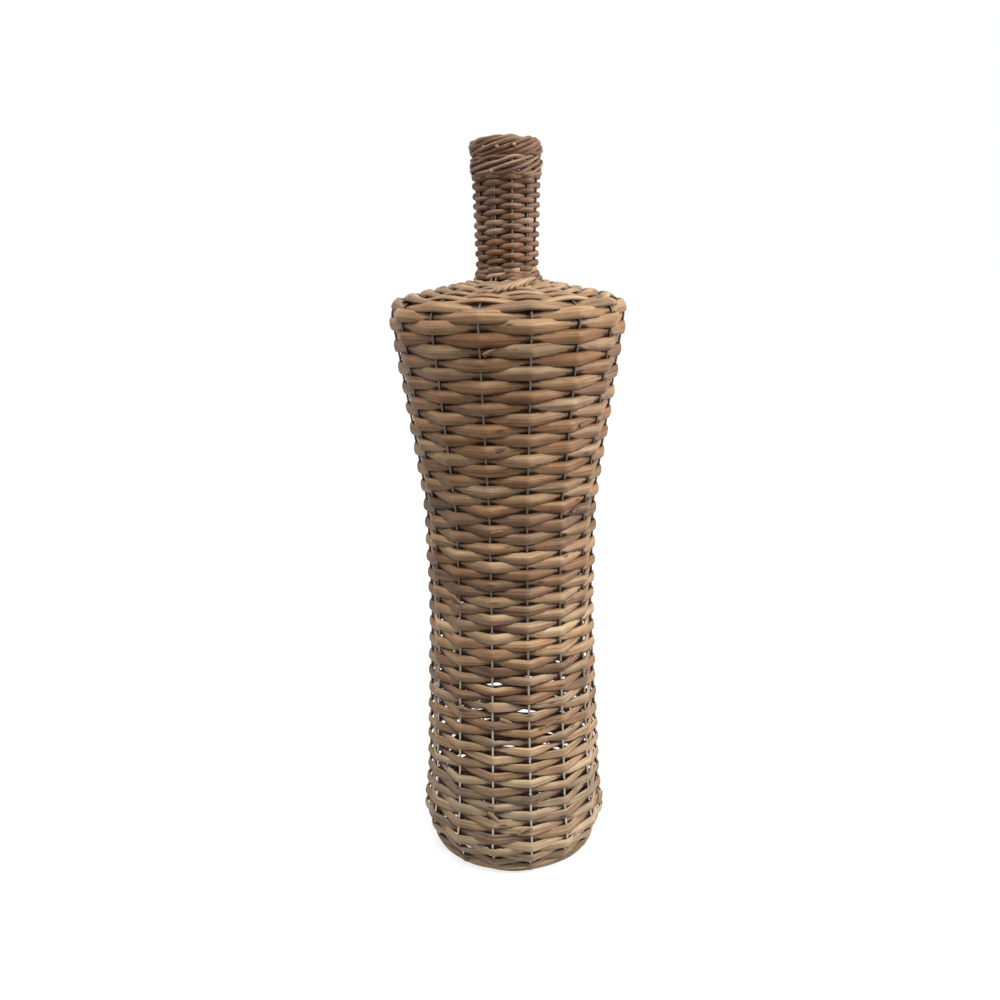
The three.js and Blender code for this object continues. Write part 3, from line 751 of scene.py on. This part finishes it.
def course_distance(x):
    """Outline distance of the wall's and the shoulder's weaver at crossing numbers x."""
    return np.interp(x / WIRE_COUNT, course_numbers, course_s)


def crossing_at(s):
    """Number of the weaver's last crossing below an outline distance."""
    return int(np.interp(s, course_s, course_numbers) * WIRE_COUNT)


def rounded_path(x, control, share):
    """Points at crossing numbers x on the line through the crossings: straight between them, and within
    a share of each a quadratic curve that rounds the corner."""
    n = np.floor(x).astype(int)
    f = (x - n)[:, None]
    here, after = control(n), control(n + 1)
    before, later = control(n - 1), control(n + 2)
    straight = here + (after - here) * f

    def bend(corner, previous, following, u):
        start = corner + (previous - corner) * share
        end = corner + (following - corner) * share
        return (1 - u) ** 2 * start + 2 * u * (1 - u) * corner + u ** 2 * end

    leaving = bend(here, before, after, 0.5 + f / (2 * share))
    arriving = bend(after, here, later, 0.5 - (1 - f) / (2 * share))
    return np.where(f < share, leaving, np.where(f > 1 - share, arriving, straight))


def along_between(x, along_at):
    """Direction along the wires at crossing numbers x, between those of the two nearest wires."""
    n = np.floor(x).astype(int)
    here = along_at(n)
    return here + (along_at(n + 1) - here) * (x - n)[:, None]


def wall_along(x):
    """Direction along the wires at the wall's and the shoulder's crossing numbers x."""
    return along_between(x, lambda n: cage_point(n, course_distance(x))[1])


def tips(x, least, length):
    """Share of its full size that a strand has along its crossing numbers x: it grows from the least
    share at both tips, by one in each length."""
    return np.clip(least + np.minimum(x - x[0], x[-1] - x) / length, 0, 1)


# Sampling of one gap between two wires: close together at the bends, wide apart on the straight.
GAP_SAMPLES = np.array([
    0, 0.022, 0.045, 0.07, 0.1, 0.17, 0.27, 0.38, 0.5, 0.62, 0.73, 0.83, 0.9, 0.93, 0.955, 0.978
])


def crossing_samples(first, last):
    """Crossing numbers from first to last, with the samples of each gap."""
    n = np.arange(math.floor(first), math.ceil(last))
    x = (n[:, None] + GAP_SAMPLES[None]).ravel()
    return np.concatenate([[first], x[(x > first) & (x < last)], [last]])


# Fewest and most gaps that a strand of each weave spans, how far its tips reach past a wire, and the
# share of a gap in which it bends.
WALL_WEAVE = (8, 20, 0.4, 0.085)
SHOULDER_WEAVE = (14, 26, 0.45, 0.34)
NECK_WEAVE = (10, 24, 0.45, 0.3)
BASE_WEAVE = (30, 60, 0.4, 0.3)


def random_tone(middle, spread, darkest, palest):
    """A random tone about the middle one, kept between the darkest and the palest."""
    return np.clip(rng.normal(middle, spread), darkest, palest)


def strands_between(first, last, weave, crossing):
    """Cuts a run of crossings into strands of random length that meet behind a wire. Gives the crossing
    numbers along each one and its path."""
    shortest, longest, reach, bend_share = weave
    cuts = [first]
    while last - cuts[-1] > longest:
        cuts.append(cuts[-1] + 2 * int(rng.integers(shortest // 2, longest // 2)))
    for start, end in zip(cuts, cuts[1:] + [last]):
        x = crossing_samples(start - reach, end + reach)
        yield x, rounded_path(x, crossing, bend_share)


print("the weaver makes", len(course_s), "courses")

# %% [markdown]
# Now the wall's six woven sections. Nothing in real basketwork is even: each crossing sits a little
# higher or lower, splits are broader at their butt end, some are twisted, and low on the body the
# splits are narrow, so that light shows through between them.


# %% Wall
# How far crossings wander up and down, in millimetres, below the first and above the second course.
UNEVEN_COURSES = (18, 30)
UNEVENNESS = (1.0, 0.55)
crossing_count = 80 * WIRE_COUNT
uneven = np.interp(np.arange(crossing_count) / WIRE_COUNT, UNEVEN_COURSES, UNEVENNESS) * MM
height_jitter = rng.normal(0, 1, crossing_count) * uneven
depth_jitter = rng.normal(0, 0.2 * MM, crossing_count)
FRONT_PUSH = 0.1 * MM
SPLIT_BODY = 3.4 * MM
SHINGLE_ROLL = 0.08
# Splits are thinner below the first of these heights than above the second, by this share.
THIN_HEIGHTS = (0.2, 0.36)
THIN_SHARE = 0.56
# The darkest tone of a split, below the first and above the second of these heights.
DARKEST_HEIGHTS = (0.58, 0.64)
DARKEST_TONES = (0.32, 0.47)
# Width of a split over its spacing by height: over a wire and behind a wire, in that order.
SPLIT_WIDTHS = np.array([
    (0.00, 1.26, 1.30), (0.06, 1.22, 1.24), (0.09, 1.10, 0.96), (0.13, 1.02, 0.60), (0.20, 1.00, 0.62),
    (0.25, 1.12, 0.86), (0.30, 1.24, 1.00), (0.45, 1.26, 1.02), (0.65, 1.20, 1.04),
]).T
# Slits that let light through, in front and back: angle in degrees, height and length in millimetres.
SLITS = [
    (-7, 170, 24), (8, 206, 13), (-20, 214, 12), (-12, 238, 9), (25, 164, 12),
    (187, 60, 34), (169, 102, 26), (203, 118, 24), (193, 146, 20), (148, 58, 22),
]
SLIT_REACH = 7 * MM
SLIT_DEPTH = 0.6
LEAST_WIDTH = 0.3
# Spreads from split to split, and the extra width of the butt end.
WIDTH_SPREAD = 0.035
ROLL_SPREAD = 0.06
TONE_SPREAD = 0.13
BUTT_WIDTH = 0.07
WALL_TONE = 0.5
PALEST_TONE = 0.85
# Where the light lens on a split of the wall and on a rod of the neck ends, in reach. Past it the strand is
# painted dark, as shade.
SPLIT_POINT = 0.86
ROD_POINT = 1.06


def wall_crossing(n):
    """Middle of the wall's weaver at crossing n: outside the wire when n is even, else inside."""
    s = course_distance(n) + height_jitter[n % crossing_count]
    front = WIRE_RADIUS + SPLIT_BODY * 0.28 + FRONT_PUSH
    behind = -(WIRE_RADIUS + SPLIT_BODY * 0.72)
    depth = np.where(n % 2 == 0, front, behind) + depth_jitter[n % crossing_count]
    return cage_point(n, s, depth)[0]


def width_kept(path):
    """Share of its width that a split keeps at each point: 1 - depth exp(-(2 aside / length)^4
    - (rise / reach)^2) for each slit, with the point's distance aside of it and above it."""
    kept = np.ones(len(path))
    for degrees, height, length in SLITS:
        angle = math.radians(degrees)
        facing = path[:, :2] @ around(angle) > 0
        aside = path[:, :2] @ beside(angle)
        rise = path[:, 2] - height * MM
        kept -= SLIT_DEPTH * facing * np.exp(-(2 * aside / (length * MM)) ** 4 - (rise / SLIT_REACH) ** 2)
    return np.clip(kept, LEAST_WIDTH, 1)


def weave_wall(bundle, first, last):
    """Weaves the wall from crossing first to crossing last as many splits. Reach is 0 over a wire and 1
    behind the next: width = spacing (behind + (over - behind) sqrt(1 - reach^2) + wobble + butt)."""
    for x, path in strands_between(first, last, WALL_WEAVE, wall_crossing):
        n = np.floor(x).astype(int)
        reach = np.where(n % 2 == 0, x - n, 1 - (x - n))
        s = course_distance(x)
        height = outline_at(s)[1]
        places = np.arange(int(x[0]), int(x[-1]) + 3)
        wobble = np.interp(x, places, rng.normal(0, WIDTH_SPREAD, len(places)))
        butt = np.linspace(rng.uniform(0.0, BUTT_WIDTH), rng.uniform(-BUTT_WIDTH, 0.0), len(x))
        over, behind = (np.interp(height, SPLIT_WIDTHS[0], widths) for widths in SPLIT_WIDTHS[1:])
        width = course_spacing(s) * (behind + (over - behind) * np.sqrt(1 - reach ** 2) + wobble + butt)
        width *= tips(x, 0.25, 0.5) * width_kept(path)
        thickness = SPLIT_BODY * (np.interp(height, THIN_HEIGHTS, [THIN_SHARE, 1]) + 0.5 * wobble)
        thickness *= tips(x, 0.3, 0.5)
        roll = np.interp(x, places, rng.normal(-SHINGLE_ROLL, ROLL_SPREAD, len(places)))
        darkest = np.interp(path[0, 2], DARKEST_HEIGHTS, DARKEST_TONES)
        tone = random_tone(WALL_TONE, TONE_SPREAD, darkest, PALEST_TONE)
        # Painted shade: the split keeps a light lens over each wire and is painted dark beyond it.
        shade = lens_shade(reach, SPLIT_SECTION, SPLIT_POINT)
        bundle.strand(path, wall_along(x), width, thickness, SPLIT_SECTION, tone, shade, roll)


def loose_end(bundle, degrees, height, length, tilt, breadth):
    """A broken or cut tip of a split on the face of the wall: it starts at an angle and height, climbs at
    the tilt, narrows and stands off more and more."""
    share = np.linspace(0, 1, 9)
    s = distance_at_height((height + share * length * math.sin(math.radians(tilt))) * MM)
    angle = math.radians(degrees) + share * length * MM * math.cos(math.radians(tilt)) / outline_at(s)[0]
    path, along = on_outline(s, angle, (-1.4 + 2.0 * share ** 2) * MM)
    width = breadth * MM * (1 - 0.75 * share ** 3)
    bundle.strand(path, along, width, 0.3 * width, SPLIT_SECTION, 0.4)


# Loose ends in each section, in degrees and millimetres: angle, height, length, angle of climb, breadth.
LOOSE_ENDS = [
    [(-17, 84, 18, -32, 6), (3, 62, 15, 22, 5), (70, 52, 18, 30, 5), (150, 88, 15, -25, 5),
     (240, 66, 16, 20, 5)],
    [(-38, 203, 17, 6, 6), (-9, 198, 15, -14, 6), (20, 186, 14, 24, 5), (120, 168, 16, 25, 5),
     (200, 190, 14, 30, 5)],
    [(-44, 333, 20, -20, 6), (36, 320, 15, 35, 4), (170, 300, 16, 20, 5)],
    [(-13, 410, 14, 16, 5), (42, 425, 14, 25, 5), (260, 400, 14, -20, 5)],
    [(40, 520, 15, 20, 5), (-8, 500, 12, 20, 5), (130, 540, 16, 20, 5)],
    [(-12, 598, 14, 28, 5), (205, 610, 14, 20, 5)],
]
WALL_LEVELS = ("lower", "middle", "upper")
wall_first = int(course_numbers[0] + 1) * WIRE_COUNT | 1
shoulder_first = crossing_at(SHOULDER_END) | 1
section_tops = [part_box(f"wall_weave_{i + 1}")[1][2] for i in range(5)]
cuts = [crossing_at(distance_at_height(top)) // 2 * 2 + 1 for top in section_tops]
for i, (start, end) in enumerate(zip([wall_first] + cuts, cuts + [shoulder_first])):
    section = Bundle()
    weave_wall(section, start, end)
    for place_and_size in LOOSE_ENDS[i]:
        loose_end(section, *place_and_size)
    slot = f"willow_split_{WALL_LEVELS[i // 2]}"
    section.make(f"woven_wall_{i + 1}", split_willow, slot, f"wall_weave_{i + 1}")

# %% [markdown]
# On the shoulder the same weaver goes on, rounder and closer from course to course, and shows as long
# waves. Near the neck the wires come together in pairs, and the weaver takes a pair as one. At the front
# the thin ends of seven new rods lie side by side on the slope and slip in under the neck.

# %% Shoulder
SHOULDER_RODS = (4.4 * MM, 3.8 * MM)
SHOULDER_WIDTH = 1.05
SHOULDER_BUTT = 0.12
shoulder_jitter = rng.normal(0, 0.6 * MM, crossing_count)


def shoulder_rod(s):
    """Thickness of the shoulder's rods at outline distances."""
    return np.interp(s, SHOULDER_SPAN, SHOULDER_RODS)


def shoulder_crossing(n):
    """Middle of the shoulder's weaver at crossing n: outside when n is even."""
    s = course_distance(n) + shoulder_jitter[n % crossing_count]
    away = WIRE_RADIUS + 0.52 * shoulder_rod(s)
    return cage_point(n, s, np.where(n % 2 == 0, away, -away))[0]


shoulder = Bundle()
for x, path in strands_between(shoulder_first, crossing_at(PAIR_ZONE) | 1, SHOULDER_WEAVE, shoulder_crossing):
    s = course_distance(x)
    butt = np.linspace(1 + rng.uniform(0, SHOULDER_BUTT), 1 - rng.uniform(0, SHOULDER_BUTT), len(x))
    share = butt * tips(x, 0.25, 0.6)
    tone = random_tone(0.57, 0.12, 0.47, 0.9)
    width = SHOULDER_WIDTH * course_spacing(s) * share
    shoulder.strand(path, wall_along(x), width, shoulder_rod(s) * share, ROD_SECTION, tone)

# Each rod starts further right and further in than the one before, turns to the right round the neck
# while it comes in to 44 mm from the middle, and dips into the weave with both tips.
FAN_RODS = 7
FAN_ROD = 2.7 * MM
for i in range(FAN_RODS):
    share = np.linspace(0, 1, 24)
    angle = np.radians(-14 + 5.0 * i + (38 - 1.5 * i) * share)
    radius = (92 - 4.5 * i - (48 - 4.5 * i) * share ** 0.9) * MM
    lift = FAN_ROD * (0.7 - 1.5 * (2 * share - 1) ** 4) + rng.normal(0, 0.2 * MM)
    path, along = on_outline(NECK_START - (radius - NECK_FOOT_RADIUS), angle, lift)
    rod = FAN_ROD * np.linspace(1.1, 0.75, len(share))
    shoulder.strand(path, along, rod, rod, ROD_SECTION, random_tone(0.66, 0.1, 0.3, 0.95))

# %% [markdown]
# In the neck the rods are round and close. There are ten places to pass, five single wires and five
# pairs, an even number, so two weavers chase each other: where one passes outside, the other passes
# inside. The same pairwise weave fills the last stretch of the shoulder.

# %% Neck
NECK_PLACES = 2 * GROUP_COUNT
NECK_ROD = 4.7 * MM
NECK_SPACING = 4.9 * MM
NECK_PUSH = 0.7 * MM
NECK_WIDTHS = (1.17, 0.13)
WIDTH_RANGE = (0.94, 1.08)
CLOSING_UP = 0.75


def pair_point(p, s, depth):
    """A point at neck place p: even places are single wires, odd places are the middle of a pair."""
    p, s = np.broadcast_arrays(np.asarray(p) % NECK_PLACES, np.asarray(s, dtype=float))
    group_wire = p // 2 * WIRES_PER_GROUP
    first, along_first = cage_point(group_wire + p % 2, s, depth)
    second, along_second = cage_point(group_wire + p % 2 * 2, s, depth)
    return (first + second) / 2, (along_first + along_second) / 2


def chase(bundle, first_s, last_s, spacing, rod, push, tone_middle):
    """Two weavers over the neck places. Weaver w passes outside where place + w is even, and both rise
    two spacings a turn, the second one spacing above the first. Beyond the first and the last distance
    the courses close up, so that no gap is left at either end."""
    last = int((last_s - first_s) / (2 * spacing) * NECK_PLACES) + NECK_PLACES

    def rise(n, weaver):
        s = first_s + (n / NECK_PLACES * 2 + weaver) * spacing
        return s + CLOSING_UP * (np.clip(first_s - s, 0, None) - np.clip(s - last_s, 0, None))

    for weaver in (0, 1):
        jitter = rng.normal(0, 0.5 * MM, NECK_PLACES * 40)

        def crossing(n):
            outside = (n + weaver) % 2 == 0
            away = WIRE_RADIUS + rod / 2
            s = rise(n, weaver) + jitter[n % len(jitter)]
            return pair_point(n, s, np.where(outside, away + push, -away))[0]

        for x, path in strands_between(-NECK_PLACES, last, NECK_WEAVE, crossing):
            level = rise(x, weaver)
            along = along_between(x, lambda n: pair_point(n, level, 0.0)[1])
            share = tips(x, 0.3, 0.5)
            n = np.floor(x).astype(int)
            swing = np.where((n + weaver) % 2 == 0, 1, -1) * np.cos(math.pi * (x - n))
            width = spacing * (NECK_WIDTHS[0] + NECK_WIDTHS[1] * swing) * rng.uniform(*WIDTH_RANGE) * share
            tone = random_tone(tone_middle, TONE_SPREAD, 0.1, PALEST_TONE)
            # Painted shade: each rod keeps a light lens over its outside pass and is painted dark where it
            # goes inside.
            shade = lens_shade((1 - swing) / 2, ROD_SECTION, ROD_POINT)
            bundle.strand(path, along, width, rod * share, ROD_SECTION, tone, shade)


chase(shoulder, PAIR_ZONE, NECK_START + 1 * MM, SHOULDER_SPACINGS[1], SHOULDER_RODS[1], 0.0, 0.55)
shoulder.make("woven_shoulder", shoulder_willow, "willow_split_upper", "shoulder_weave")
neck = Bundle()
chase(neck, NECK_START - 3 * MM, distance_at_height(NECK_TOP), NECK_SPACING, NECK_ROD, NECK_PUSH, 0.41)
neck.make("woven_neck", rod_willow, "willow_rod", "neck_weave")

# %% [markdown]
# The rim is two rolled borders. The rods of each wind round the ends of the wires like the strands
# of a rope, so the outside shows them climbing to the right. The foot border is the same, but finer,
# and a wale of long rods lies round the turn of the foot.


# %% Borders
BORDER_STEPS = 200


def rolled_border(bundle, ring, rod, strands, winds, phase, tone, lean=0.0, loose=0.3 * MM, sag=0.0):
    """Strands wound round a ring of (middle radius, middle height, half width, half height). Each one's
    centre moves on an oval about the ring's line, by the winds per turn, a whole number of strand
    spacings, and faster on the left by the lean. It wanders in and out by the loose distance. The top
    sags at the left and right by a share of its height. The strands start and end at the back."""
    middle_radius, middle_height, half_width, half_height = ring
    angle = math.pi + 2 * math.pi * np.arange(BORDER_STEPS + 1) / BORDER_STEPS
    for i in range(strands):
        turn = phase + 2 * math.pi * i / strands + angle * winds / strands - lean * np.cos(angle)
        first_phase, second_phase = rng.uniform(0, 2 * math.pi, 2)
        width = rod * rng.uniform(0.84, 1.12) * (1 + 0.06 * np.sin(2 * angle + second_phase))
        wander = loose * (np.sin(4 * angle + first_phase) + np.sin(9 * angle + second_phase) - 2) / 2
        radius = middle_radius + (half_width - width / 2 + wander) * np.cos(turn)
        rise = (half_height - width / 2 + wander) * np.sin(turn)
        height = middle_height + rise * np.where(rise > 0, 1 - sag * np.sin(angle) ** 2, 1)
        path, along = upright(angle, radius, height), upright(angle, -np.sin(turn), np.cos(turn))
        bundle.strand(path, along, width, width, ROD_SECTION, random_tone(tone, 0.14, 0.1, 0.95))


rim_inner = hoop_r - 2 * hoop_thick - 2 * WIRE_RADIUS
rim_middle = (RIM_RADIUS + rim_inner) / 2
rim_half = (RIM_RADIUS - rim_inner) / 2
RIM_STRANDS = 8
RIM_OVERLAP = 1.6 * MM
RIM_LOOSE = 1.2 * MM
RIM_LEAN = 0.8
RIM_TONE = 0.53
RIM_PHASE = 0.6
RIM_CORE = 7 * MM
FOOT_CORE = 3 * MM
CORE_STEPS = (60, 90)
CUT_ROD = 3.6 * MM


def cut_end(bundle, degrees, height):
    """The cut end of a rod that looks out of the roll: short, straight, pointing outwards and down."""
    reach = np.linspace(RIM_RADIUS - 4 * CUT_ROD, RIM_RADIUS - 0.2 * MM, 4)
    level = height * MM + np.linspace(2 * MM, 0, 4)
    path = upright(math.radians(degrees), reach, level)
    bundle.strand(path, UPWARDS, CUT_ROD, CUT_ROD, ROD_SECTION, 0.9)


# For the lower and the upper border: rod, winds, sag, and the angle and height of each cut end.
RIM_BORDERS = {
    "lower": (3.9 * MM, 11, 0.0, [(-24, 774)]),
    "upper": (4.8 * MM, 14, 0.24, [(-36, 797), (-14, 797), (12, 799), (96, 796), (150, 798), (215, 795)]),
}
for level, (name, (rod, winds, sag, cut_ends)) in enumerate(RIM_BORDERS.items()):
    rim = Bundle()
    low = NECK_TOP + level * RIM_BAND_HEIGHT - RIM_OVERLAP
    high = NECK_TOP + (level + 1) * RIM_BAND_HEIGHT - RIM_OVERLAP * (level - 1) - 0.2 * MM * level
    ring = (rim_middle, (low + high) / 2, rim_half, (high - low) / 2)
    closed_ring(rim, rim_middle, (low + high) / 2, CORE_STEPS[0], RIM_CORE, ROD_SECTION, 0.2)
    rolled_border(rim, ring, rod, RIM_STRANDS, winds, RIM_PHASE * level, RIM_TONE, RIM_LEAN, RIM_LOOSE, sag)
    for degrees, height in cut_ends:
        cut_end(rim, degrees, height)
    rim.make(f"rolled_rim_{name}", rod_willow, "willow_rod", f"rim_border_{name}")

foot_middle = FOOT_BORDER_OUTER - FOOT_BORDER_WIDTH / 2
foot_top = BASE_LIFT + 2 * SPLIT_THICKNESS + WIRE_DIAMETER
foot = Bundle()
closed_ring(foot, foot_middle, foot_top / 2, CORE_STEPS[1], FOOT_CORE, ROD_SECTION, 0.3)
foot_ring = (foot_middle, foot_top / 2, FOOT_BORDER_WIDTH / 2, foot_top / 2)
rolled_border(foot, foot_ring, 3.8 * MM, strands=5, winds=38, phase=0.0, tone=0.45)
FOOT_WALE = (93 * MM, 8.4 * MM, 5.4 * MM, 5.4 * MM)
rolled_border(foot, FOOT_WALE, 4.6 * MM, strands=6, winds=11, phase=0.0, tone=0.5, loose=0.5 * MM)
foot.make("rolled_foot", split_willow, "willow_split_lower", "foot_border")

# %% [markdown]
# The base is a flat disc woven round the same wires, from the ring out to the foot border.

# %% Base
BASE_ROD = 3.2 * MM
BASE_SPACING = 4.4 * MM
BASE_WIDTH = 1.25
base_first = BASE_RING_RADIUS + 3 * MM
base_last = FOOT_BORDER_OUTER - FOOT_BORDER_WIDTH - BASE_ROD
base_turns = (base_last - base_first) / BASE_SPACING
base_jitter = rng.normal(0, 0.2 * MM, crossing_count)


def base_distance(x):
    """Outline distance of the base weaver at crossing numbers x."""
    return base_first + x / WIRE_COUNT * BASE_SPACING


def base_crossing(n):
    """Middle of the base's weaver at crossing n: below the wire when n is even."""
    s = base_distance(n) + base_jitter[n % crossing_count]
    return cage_point(n, s, np.where(n % 2 == 0, 1, -1) * (WIRE_RADIUS + BASE_ROD * 0.4))[0]


base = Bundle()
for x, path in strands_between(1, int(base_turns * WIRE_COUNT) | 1, BASE_WEAVE, base_crossing):
    along = along_between(x, lambda n: cage_point(n, base_distance(x))[1])
    tone = random_tone(WALL_TONE, TONE_SPREAD, 0.15, 0.9)
    base.strand(path, along, BASE_WIDTH * BASE_SPACING, BASE_ROD, ROD_SECTION, tone)
base.make("woven_base", split_willow, "willow_split_lower", "base_weave")
